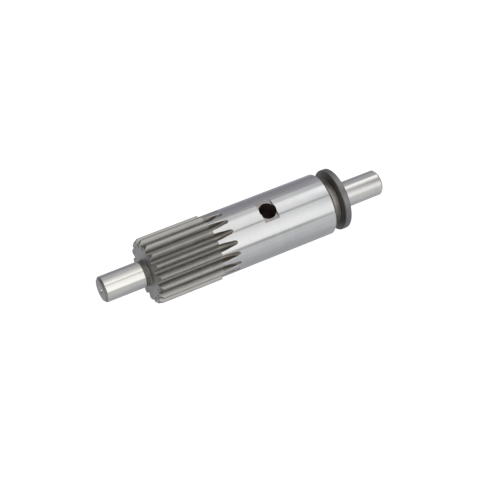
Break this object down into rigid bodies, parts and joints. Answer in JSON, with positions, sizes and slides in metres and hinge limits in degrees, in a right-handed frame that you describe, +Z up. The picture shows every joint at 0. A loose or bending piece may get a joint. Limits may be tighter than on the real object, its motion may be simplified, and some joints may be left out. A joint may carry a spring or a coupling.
{
  "type": "pinion shaft",
  "caption": "Steel pinion shaft: spur teeth cut in one end of a thick ground body with a cross hole and milled flat, a groove and collar, and a slim journal at each end.",
  "frame": {"origin": "middle of the shaft's length, below its axis, at the height of its lowest tooth tip, which is the surface that it lies on", "axes": "+X along the axis from the pinion end to the collar end, +Z up, along the cross hole, out of the milled flat"},
  "size_m": [0.176, 0.0379, 0.0378],
  "materials": {
    "steel": "ground on the body and journals, as hobbed and hardened on the teeth, turned in the groove and collar"
  },
  "bodies": {
    "root": {"pinion_shaft": "steel"}
  },
  "joints": []
}
